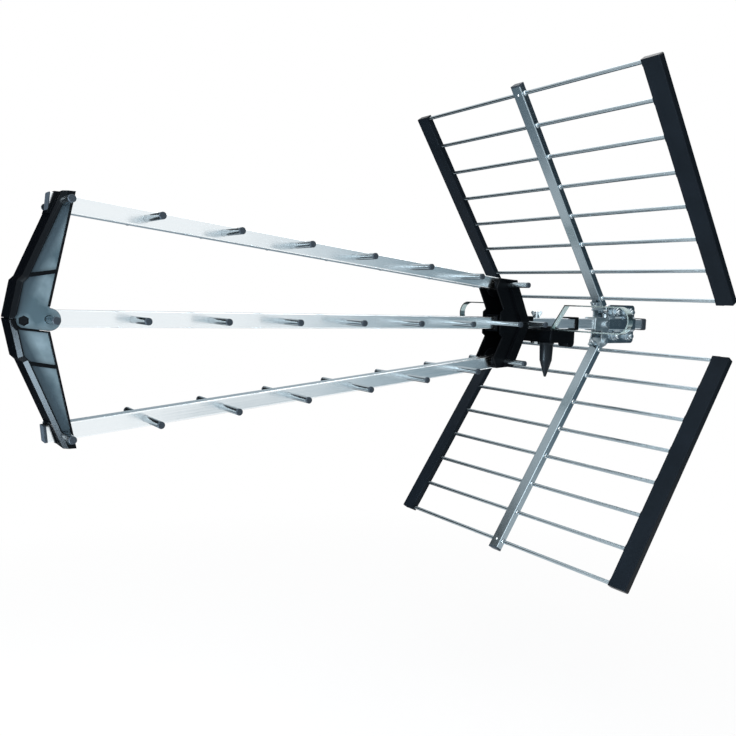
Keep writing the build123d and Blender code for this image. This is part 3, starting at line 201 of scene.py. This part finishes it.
def drawn_aluminium(name, low, high, roughness):
    """Bare drawn aluminium: thin lines along the rod, which lies across the aerial."""
    def surface(tree):
        lines = grain_along(tree, "X", DRAW_LINE, DRAW_LINE_LENGTH)
        return {
            "Base Color": mixed(tree, lines, low, high),
            "Metallic": 1.0,
            "Roughness": ranged(tree, lines, roughness - 0.04, roughness + 0.08, 0.3, 0.7),
            "Normal": raised(tree, lines, 0.0001, 0.08),
        }
    return finish(name, surface)


rod_finish = drawn_aluminium("drawn_aluminium_rod", "#87979f", "#bccad2", 0.2)
rod_names = [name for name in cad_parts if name.startswith("director_") or "_bracket_rod_" in name]
dress(rod_finish, "rod_aluminium", "hub_rod", *rod_names, rounding=None)


FLOW_PATCH = 0.04
MOULD_GRAIN = 0.0008
FINE_GRAIN = 0.0006


def moulded_plastic(name, low, high, roughness, gloss, grain=MOULD_GRAIN):
    """Moulded plastic: an even colour with a fine grain of a real size in metres and a soft gloss."""
    def surface(tree):
        wide = cloud(tree, FLOW_PATCH)
        return {
            "Base Color": mixed(tree, wide, low, high),
            "Roughness": ranged(tree, wide, roughness - 0.05, roughness + 0.06, 0.3, 0.7),
            "Specular IOR Level": gloss,
            "Specular Tint": linear("#c4d8e6"),
            "Normal": raised(tree, cloud(tree, grain, 2.0), grain / 3, 0.12),
        }
    return finish(name, surface)


plug_finish = moulded_plastic("moulded_polythene_plug", "#262d34", "#353d45", 0.45, 0.25, FINE_GRAIN)
dress(plug_finish, "plug_plastic", "rod_end_plugs", "boom_end_plugs", "channel_end_plugs", rounding=None)


# Front bracket
# Two shells moulded in black plastic, pinned by the front rods and tied by one hex bolt, whose near-black
# colour is painted shade from its deep recess.
# Their rims are smooth and black, and the sunk side fields are grained, which makes them slate grey.
FIELD_DEPTH = 0.0012
FIELD_PATCH = 0.035
FIELD_GRAIN = 0.0009
FRONT_SLOPE = 0.47


def bracket_surface(tree):
    """Black rims and grained slate fields, told apart by how deep the side wall is sunk."""
    low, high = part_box("front_bracket_upper")
    across, along, up = add(tree, "ShaderNodeSeparateXYZ", {0: own_place(tree)}).outputs
    away = maths(tree, "ABSOLUTE", maths(tree, "SUBTRACT", across, (low.x + high.x) / 2))
    inputs = {0: away, 1: (high.x - low.x) / 2 - FIELD_DEPTH, 2: FIELD_DEPTH / 3}
    depth = add(tree, "ShaderNodeMath", inputs, operation="COMPARE").outputs[0]
    normal = add(tree, "ShaderNodeNewGeometry").outputs["True Normal"]
    side = maths(tree, "ABSOLUTE", add(tree, "ShaderNodeSeparateXYZ", {0: normal}).outputs[0])
    field = maths(tree, "MULTIPLY", depth, maths(tree, "GREATER_THAN", side, 0.95))
    front_edge = maths(tree, "MULTIPLY", maths(tree, "ABSOLUTE", up), FRONT_SLOPE)
    from_front = maths(tree, "SUBTRACT", maths(tree, "SUBTRACT", along, low.y), front_edge)
    slate = mixed(tree, rises(tree, cloud(tree, FIELD_PATCH, 4.0), 0.35, 0.68), "#42545d", "#7a8e98")
    # Painted shade: the slate fields darken towards the front edge of each shell.
    slate = mixed(tree, rises(tree, from_front, 0.003, 0.012), "#36444d", slate)
    return {
        "Base Color": mixed(tree, field, "#020305", slate),
        "Roughness": ranged(tree, field, 0.24, 0.5),
        "Specular IOR Level": 0.14,
        "Specular Tint": linear("#c4d8e6"),
        "Normal": raised(tree, cloud(tree, FIELD_GRAIN, 2.0), 0.0003, 0.15),
    }


bracket_finish = finish("moulded_abs_front_bracket", bracket_surface)
dress(bracket_finish, "bracket_plastic", "front_bracket_upper", "front_bracket_lower")


# Rear bracket, boom clip and reflector side bars
# Black plastic mouldings with a half-gloss skin, pushed or snapped onto the booms and rods.
# The gloss draws a pale line along every rounded edge, and the broad faces stay near black.
black_finish = moulded_plastic("moulded_black_abs", "#030406", "#07090c", 0.32, 0.07)
dress(black_finish, "black_plastic", "rear_bracket", "boom_clip")
bar_finish = moulded_plastic("moulded_black_side_bar", "#0a0f14", "#12181f", 0.36, 0.1)
bar_names = [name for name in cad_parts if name.startswith("reflector_bar_")]
dress(bar_finish, "black_plastic", *bar_names, tight=True)


# Dipole
# Two loops of flat aluminium strip, bent round at the ends and clamped in the box's terminals.
# The strip is bare and satin, a little greener and duller than the tubes.
strip_finish = drawn_aluminium("flat_rolled_aluminium_strip", "#93a9aa", "#b9c9ca", 0.2)
dress(strip_finish, "strip_aluminium", "dipole_near", "dipole_far", rounding=None)


# Dipole box, lid, board, socket and boot
# A black weatherproof housing bolted up under the boom. Inside it are a small laminate board and
# the nickel-plated socket, and a soft rubber boot is pushed up over the socket from below.
box_finish = moulded_plastic("moulded_black_polypropylene_box", "#020304", "#05070a", 0.36, 0.07)
dress(box_finish, "box_plastic", "dipole_box")
dress(box_finish, "box_plastic", "dipole_box_lid", tight=True)

board_finish = moulded_plastic("green_board_laminate", "#1f5a35", "#2a6b40", 0.4, 0.5)
dress(board_finish, "board_laminate", "balun_board", rounding=None)

boot_finish = moulded_plastic("soft_black_rubber_boot", "#080b0f", "#10151a", 0.38, 0.25, FINE_GRAIN)
dress(boot_finish, "boot_rubber", "socket_boot")


def plated_metal(name, low, high, roughness, patch):
    """Plated metal: a thin bright coat whose sheen changes a little from patch to patch."""
    def surface(tree):
        patches = cloud(tree, patch, 4.0)
        return {
            "Base Color": mixed(tree, patches, low, high),
            "Metallic": 1.0,
            "Roughness": ranged(tree, patches, roughness - 0.06, roughness + 0.1, 0.3, 0.7),
            "Normal": raised(tree, cloud(tree, patch / 12, 2.0), 0.0002, 0.08),
        }
    return finish(name, surface)


socket_finish = plated_metal("nickel_plated_brass_socket", "#b5b0a4", "#d3cec2", 0.22, 0.006)
dress(socket_finish, "socket_metal", "coax_socket")


# Reflector channels and rods
# Each grid hangs on one rectangular aluminium tube, holed for eight drawn rods that run across it.
# A rolled bead on each side keeps every rod from sliding, and a rivet holds the plug in the end.
channel_finish = rolled_aluminium("rolled_aluminium_channel", "#84969f", "#a5b3bb", 0.2)
channel_names = ("reflector_channel_upper", "reflector_channel_lower")
dress(channel_finish, "channel_aluminium", *channel_names, rounding=None)
dress(rod_finish, "rod_aluminium", "reflector_rods_upper", "reflector_rods_lower", rounding=None)

low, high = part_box("rear_boom")
BOOM_X = (low.x + high.x) / 2
PANEL_FOOT = (BOOM_X, -0.048, 0.0376)
PANEL_LEAN = math.radians(34.3)
UPPER_PANEL = Matrix.Translation(PANEL_FOOT) @ Matrix.Rotation(PANEL_LEAN, 4, "X")
LOWER_PANEL = Matrix.Diagonal((1, 1, -1, 1)) @ UPPER_PANEL
ROD_PITCH = 0.0452
ROD_COUNT = 8.0
ROD_RADIUS = 0.0025
CHANNEL_HALF_WIDTH = 0.008
CHANNEL_HALF_DEPTH = 0.005


def geometry_tree(name, numbers):
    """An empty geometry tree with named number inputs, its input node and one geometry output."""
    tree = bpy.data.node_groups.new(name, "GeometryNodeTree")
    for label in numbers:
        tree.interface.new_socket(label, in_out="INPUT", socket_type="NodeSocketFloat")
    tree.interface.new_socket("Geometry", in_out="OUTPUT", socket_type="NodeSocketGeometry")
    return tree, add(tree, "NodeGroupInput")


def close_tree(tree, geometry, material):
    """Ends a geometry tree: real geometry with its material."""
    real = add(tree, "GeometryNodeRealizeInstances", {0: geometry})
    painted = add(tree, "GeometryNodeSetMaterial", {0: real.outputs[0], "Material": material})
    add(tree, "NodeGroupOutput", {0: painted.outputs[0]})


def grown(name, tree, values):
    """Runs a geometry tree once with its inputs and keeps the result as a plain mesh."""
    carrier = bpy.data.objects.new(name, bpy.data.meshes.new(name))
    bpy.context.scene.collection.objects.link(carrier)
    worker = carrier.modifiers.new("growth", "NODES")
    worker.node_group = tree
    for socket in tree.interface.items_tree:
        if socket.in_out == "INPUT":
            worker[socket.identifier] = values[socket.name]
    graph = bpy.context.evaluated_depsgraph_get()
    mesh = bpy.data.meshes.new_from_object(carrier.evaluated_get(graph))
    bpy.data.objects.remove(carrier)
    return mesh


def placed(mesh, places):
    """One mesh that repeats another at several places, with its faces kept outwards."""
    points = []
    faces = []
    for place in places:
        start = len(points)
        points += [place @ v.co for v in mesh.vertices]
        flip = place.determinant() < 0
        for face in mesh.polygons:
            corners = [start + i for i in face.vertices]
            faces.append(corners[::-1] if flip else corners)
    whole = bpy.data.meshes.new(mesh.name)
    whole.from_pydata(points, [], faces)
    return whole


def fit_piece(name, mesh, material, smooth=True):
    """Puts a finished mesh into the scene as a fixed piece of the aerial."""
    mesh.materials.clear()
    mesh.materials.append(material)
    for face in mesh.polygons:
        face.use_smooth = smooth
    piece = bpy.data.objects.new(name, mesh)
    bpy.context.scene.collection.objects.link(piece)
    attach(piece, "root")
    return piece


def bead_tree(material):
    """A row of round beads, one at every rod of a grid, on both sides of the channel."""
    tree, given = geometry_tree("rod_beads", ("Rod Radius", "Bead Radius", "Offset", "Pitch", "Count"))
    radius, bead, offset, pitch, count = given.outputs[:5]
    ring = add(tree, "GeometryNodeCurvePrimitiveCircle", {"Resolution": 16, "Radius": radius})
    section = add(tree, "GeometryNodeCurvePrimitiveCircle", {"Resolution": 6, "Radius": bead})
    round_bead = add(tree, "GeometryNodeCurveToMesh", {0: ring.outputs[0], 1: section.outputs[0]})
    across = (0.0, math.pi / 2, 0.0)
    turned = add(tree, "GeometryNodeTransform", {0: round_bead.outputs[0], "Rotation": across})
    step = add(tree, "ShaderNodeCombineXYZ", {2: pitch})
    row = add(tree, "GeometryNodeMeshLine", {"Count": count, "Offset": step.outputs[0]})
    inputs = {"Points": row.outputs[0], "Instance": turned.outputs[0]}
    beads = add(tree, "GeometryNodeInstanceOnPoints", inputs)
    right = add(tree, "ShaderNodeCombineXYZ", {0: offset})
    left = add(tree, "ShaderNodeCombineXYZ", {0: maths(tree, "MULTIPLY", offset, -1.0)})
    rows = add(tree, "GeometryNodeJoinGeometry")
    for side in (right, left):
        moved = add(tree, "GeometryNodeTransform", {0: beads.outputs[0], "Translation": side.outputs[0]})
        tree.links.new(moved.outputs[0], rows.inputs[0])
    close_tree(tree, rows.outputs[0], material)
    return tree


BEAD_RADIUS = 0.0009
bead_sizes = {
    "Rod Radius": ROD_RADIUS,
    "Bead Radius": BEAD_RADIUS,
    "Offset": CHANNEL_HALF_WIDTH + BEAD_RADIUS,
    "Pitch": ROD_PITCH,
    "Count": ROD_COUNT,
}
bead_finish = drawn_aluminium("rolled_bead_aluminium", "#c2ced4", "#e2e9ec", 0.18)
beads = grown("rod_beads", bead_tree(bead_finish), bead_sizes)
fit_piece("reflector_rod_beads", placed(beads, (UPPER_PANEL, LOWER_PANEL)), bead_finish)


def turned_form(name, profile, sides=20):
    """A round form turned about Z from a profile of radius and height, from the tip to the foot."""
    points = [(0.0, 0.0, profile[0][1])]
    for radius, height in profile[1:]:
        for i in range(sides):
            angle = 2 * math.pi * i / sides
            points.append((radius * math.cos(angle), radius * math.sin(angle), height))
    faces = []
    for i in range(sides):
        following = (i + 1) % sides
        faces.append((0, 1 + i, 1 + following))
        for ring in range(len(profile) - 2):
            upper = 1 + ring * sides
            lower = upper + sides
            faces.append((upper + i, lower + i, lower + following, upper + following))
    faces.append(tuple(reversed(range(len(points) - sides, len(points)))))
    mesh = bpy.data.meshes.new(name)
    mesh.from_pydata(points, [], faces)
    return mesh


RIVET_PROFILE = ((0.0, 0.0011), (0.0009, 0.001), (0.0016, 0.0006), (0.0019, 0.0), (0.0019, -0.0004))
RIVET_HEIGHT = 0.3167
TO_FRONT = Matrix.Rotation(math.pi / 2, 4, "X")
rivet_seat = Matrix.Translation((0, -CHANNEL_HALF_DEPTH, RIVET_HEIGHT)) @ TO_FRONT
seats = (UPPER_PANEL @ rivet_seat, LOWER_PANEL @ rivet_seat)
rivets = placed(turned_form("plug_rivets", RIVET_PROFILE), seats)
fit_piece("channel_plug_rivets", rivets, bead_finish)


# Reflector bracket, clamp and fasteners
# Steel sheet pressed and holed, then zinc plated, with bolts, U-bolts and wing nuts of the same.
# The plating is blue-grey and bright, and the ends of the bolts and U-bolts show their threads.
SHEET_PATCH = 0.012
FASTENER_PATCH = 0.004
zinc_finish = plated_metal("zinc_plated_clamp", "#71828c", "#9dabb3", 0.2, SHEET_PATCH)
dress(zinc_finish, "zinc_steel", "clamp_plate", "clamp_jaw")
dull_zinc = plated_metal("dull_zinc_plated_bracket", "#97a7af", "#c0ccd1", 0.32, SHEET_PATCH)
dress(dull_zinc, "zinc_steel", "reflector_bracket")
bright_finish = plated_metal("zinc_plated_fasteners", "#a3b0b7", "#cfd8dd", 0.2, FASTENER_PATCH)
dress(bright_finish, "zinc_steel", "clamp_u_bolts", rounding=None)
dress(bright_finish, "fastener_steel", "hub_bolt", "bracket_bolts", "clamp_nuts")
wing_finish = plated_metal("zinc_plated_wing_nut", "#75858d", "#a3b0b7", 0.24, FASTENER_PATCH)
dress(wing_finish, "fastener_steel", "wing_nuts")
# The front bracket's bolt is painted near black as painted shade, for its head sits deep in its hex
# recess.
painted_shade_near_black = plated_metal("black_oxide_steel", "#14171a", "#23282c", 0.4, 0.003)
dress(painted_shade_near_black, "blackened_steel", "front_bracket_bolt")


TOOTH = 0.42


def thread_tree(material):
    """A raised thread wound round a bolt's end, from the ground plane upwards."""
    tree, given = geometry_tree("bolt_thread", ("Radius", "Pitch", "Turns"))
    radius, pitch, turns = given.outputs[:3]
    winding = add(tree, "GeometryNodeCurveSpiral", {
        "Resolution": 14,
        "Rotations": turns,
        "Start Radius": radius,
        "End Radius": radius,
        "Height": maths(tree, "MULTIPLY", pitch, turns),
    })
    inputs = {"Resolution": 3, "Radius": maths(tree, "MULTIPLY", pitch, TOOTH)}
    tooth = add(tree, "GeometryNodeCurvePrimitiveCircle", inputs)
    inputs = {0: winding.outputs[0], 1: tooth.outputs[0], "Fill Caps": True}
    wound = add(tree, "GeometryNodeCurveToMesh", inputs)
    close_tree(tree, wound.outputs[0], material)
    return tree


M5_PITCH, M5_RADIUS = 0.0008, 0.0025
M6_PITCH, M6_RADIUS = 0.001, 0.003
thread = thread_tree(bright_finish)


def bolt_end(name, radius, pitch, turns):
    """The thread of a bolt's free end."""
    return grown(name, thread, {"Radius": radius, "Pitch": pitch, "Turns": float(turns)})


THREAD_LENGTH = 0.0039
low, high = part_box("clamp_u_bolts")
leg_y = (high.y - low.y) / 2 - M6_RADIUS
leg_z = high.z - M6_RADIUS
to_side = Matrix.Rotation(math.pi / 2, 4, "Y")
legs = [Matrix.Translation((high.x - THREAD_LENGTH, y, z)) @ to_side
        for y in (leg_y, -leg_y) for z in (leg_z, -leg_z)]
leg_threads = placed(bolt_end("u_bolt_thread", M6_RADIUS, M6_PITCH, 3.6), legs)
fit_piece("u_bolt_threads", leg_threads, bright_finish, smooth=False)

WEB_STAND = 0.0022
WING_HUB_HEIGHT = 0.0045
THREAD_START = 0.0001
FOOT_SCREW_HEIGHT = -0.0055
low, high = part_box("hub_bolt")
hub_place = Matrix.Translation((BOOM_X, (low.y + high.y) / 2, high.z - THREAD_LENGTH))
screw_front = -(CHANNEL_HALF_DEPTH + WEB_STAND + WING_HUB_HEIGHT + THREAD_START)
screw_place = Matrix.Translation((0, screw_front, FOOT_SCREW_HEIGHT)) @ TO_FRONT
screws = (hub_place, UPPER_PANEL @ screw_place, LOWER_PANEL @ screw_place)
screw_threads = placed(bolt_end("m5_thread", M5_RADIUS, M5_PITCH, 4.6), screws)
fit_piece("wing_nut_threads", screw_threads, bright_finish, smooth=False)


# Floor, backdrop, light and camera
# A white studio: a pale floor well below the aerial, an even white surround and soft lamps. Grey
# and black cards at the sides, seen in reflections alone, give the bare metal its darker lines.
def stage_sheet(name, corners, material):
    """A flat sheet of the studio through four corners."""
    mesh = bpy.data.meshes.new(name)
    mesh.from_pydata(corners, [], [(0, 1, 2, 3)])
    mesh.materials.append(material)
    sheet = bpy.data.objects.new(name, mesh)
    bpy.context.scene.collection.objects.link(sheet)
    return sheet


def seen_directly(tree):
    """One for the camera and for mirrored and clear rays, nought for soft light."""
    rays = add(tree, "ShaderNodeLightPath").outputs
    seen = maths(tree, "MAXIMUM", rays["Is Camera Ray"], rays["Is Glossy Ray"])
    return maths(tree, "MAXIMUM", seen, rays["Is Transmission Ray"])


low, high = cad_box
middle = (low + high) / 2
FLOOR_Z = low.z - 0.35
FLOOR_REACH = 15.0
material = bpy.data.materials.new("white_studio_floor")
material.use_nodes = True
tree = material.node_tree
tree.nodes.clear()
centre = (middle.x, middle.y, FLOOR_Z)
inputs = {0: own_place(tree), 1: centre}
away = add(tree, "ShaderNodeVectorMath", inputs, operation="DISTANCE").outputs["Value"]
whiteness = maths(tree, "MULTIPLY", seen_directly(tree), ranged(tree, away, 0.75, 1.0, 0.5, 1.5))
plain = add(tree, "ShaderNodeBsdfDiffuse", {"Color": linear("#f0f1f2")})
white = add(tree, "ShaderNodeEmission", {"Color": (1, 1, 1, 1), "Strength": 1.0})
blend = add(tree, "ShaderNodeMixShader", {0: whiteness, 1: plain.outputs[0], 2: white.outputs[0]})
add(tree, "ShaderNodeOutputMaterial", {0: blend.outputs[0]})
reach = ((-1, -1), (1, -1), (1, 1), (-1, 1))
corners = [(middle.x + FLOOR_REACH * x, middle.y + FLOOR_REACH * y, FLOOR_Z) for x, y in reach]
stage_sheet("floor", corners, material)

world = bpy.data.worlds.new("white_surround")
world.use_nodes = True
tree = world.node_tree
tree.nodes.clear()
strength = ranged(tree, seen_directly(tree), 0.55, 1.0)
background = add(tree, "ShaderNodeBackground", {"Color": (1, 1, 1, 1), "Strength": strength})
add(tree, "ShaderNodeOutputWorld", {0: background.outputs[0]})
bpy.context.scene.world = world


def card(name, corners, tone):
    """A card that only reflections show, of one tone or of a tone worked out from the place on it."""
    material = bpy.data.materials.new(name)
    material.use_nodes = True
    tree = material.node_tree
    tree.nodes.clear()
    colour = linear(tone) if isinstance(tone, str) else tone(tree)
    glow = add(tree, "ShaderNodeEmission", {"Color": colour, "Strength": 1.0})
    add(tree, "ShaderNodeOutputMaterial", {0: glow.outputs[0]})
    sheet = stage_sheet(name, corners, material)
    sheet.visible_camera = False
    sheet.visible_diffuse = False
    sheet.visible_shadow = False
    sheet.visible_transmission = False


def upright(start, end, top):
    """The corners of a card that stands on the floor between two places."""
    return [(*start, FLOOR_Z), (*end, FLOOR_Z), (*end, top), (*start, top)]


def laid(left, right, front, back):
    """The corners of a card that lies just over the floor."""
    height = FLOOR_Z + 0.02
    return [(left, front, height), (right, front, height), (right, back, height), (left, back, height)]


def rear_tone(tree):
    """White at the right end, slate towards the left, darker above and lighter near the floor."""
    along, _, up = add(tree, "ShaderNodeSeparateXYZ", {0: own_place(tree)}).outputs
    tone = mixed(tree, rises(tree, along, 2.1, 2.6), "#bfced6", "#ffffff")
    tone = mixed(tree, rises(tree, along, 1.7, 2.3), "#7d909a", tone)
    tone = mixed(tree, rises(tree, along, 1.1, 1.5), "#55656f", tone)
    left = maths(tree, "MULTIPLY", rises(tree, up, 0.02, 0.12), falls(tree, along, 1.42, 1.56))
    top = maths(tree, "MULTIPLY", rises(tree, up, 0.42, 0.5), falls(tree, along, 1.75, 1.95))
    tone = mixed(tree, maths(tree, "MAXIMUM", left, top), tone, "#2c3840")
    return mixed(tree, falls(tree, up, -0.6, -0.35), tone, "#9eadb5")


def side_tone(tree):
    """Dark near the floor, grey at the height of the booms and paler above."""
    up = add(tree, "ShaderNodeSeparateXYZ", {0: own_place(tree)}).outputs[2]
    tone = mixed(tree, rises(tree, up, -0.62, -0.38), "#1c262d", "#8796a0")
    return mixed(tree, rises(tree, up, 0.2, 0.4), tone, "#9aa9b1")


CARD_X = -1.5
card("rear_card", upright((2.97, 0.41), (0.05, 2.23), 1.2), rear_tone)
card("side_card", upright((CARD_X, -0.5), (CARD_X, 2.6), 0.6), side_tone)
card("front_flag", upright((CARD_X, -2.2), (CARD_X, -0.5), 1.0), "#0b0d10")
card("floor_card", laid(CARD_X, -0.45, -0.35, 2.2), "#1c262d")
card("front_floor_card", laid(CARD_X, -0.9, -2.2, -0.7), "#8b9aa3")


def softbox(name, place, aim, size, power, colour="#ffffff"):
    """A square soft lamp that looks at a point."""
    lamp = bpy.data.lights.new(name, "AREA")
    lamp.color = linear(colour)[:3]
    lamp.size = size
    lamp.energy = power
    holder = bpy.data.objects.new(name, lamp)
    holder.location = place
    holder.rotation_mode = "QUATERNION"
    holder.rotation_quaternion = (Vector(aim) - Vector(place)).to_track_quat("-Z", "Y")
    holder.visible_camera = False
    bpy.context.scene.collection.objects.link(holder)


softbox("key_softbox", (0.9, -1.5, 1.6), middle, size=1.4, power=24)
softbox("side_softbox", (1.25, -2.2, 0.5), (0.0, -0.7, 0.0), size=1.0, power=20)
softbox("top_softbox", (-0.4, 0.6, 1.9), middle, size=1.6, power=16)
softbox("low_softbox", (0.14, -1.56, -0.42), (0.045, -0.85, -0.06), size=0.36, power=23, colour="#e2ebf1")

CAMERA_PLACE = (0.7699, -0.9759, 0.0295)
CAMERA_AZIMUTH = math.radians(55.15)
CAMERA_ELEVATION = math.radians(5.29)
CAMERA_ROLL = math.radians(1.848)
camera = bpy.data.cameras.new("camera")
camera.sensor_width = 36
camera.lens = 37.84
camera.clip_start = 0.02
camera.clip_end = 60
viewer = bpy.data.objects.new("camera", camera)
level_out = math.cos(CAMERA_ELEVATION)
back = Vector((
    math.sin(CAMERA_AZIMUTH) * level_out,
    -math.cos(CAMERA_AZIMUTH) * level_out,
    math.sin(CAMERA_ELEVATION),
))
look = (-back).to_track_quat("-Z", "Y").to_matrix() @ Matrix.Rotation(CAMERA_ROLL, 3, "Z")
viewer.matrix_world = Matrix.Translation(CAMERA_PLACE) @ look.to_4x4()
bpy.context.scene.collection.objects.link(viewer)
bpy.context.scene.camera = viewer
bpy.context.scene.view_settings.view_transform = "Standard"
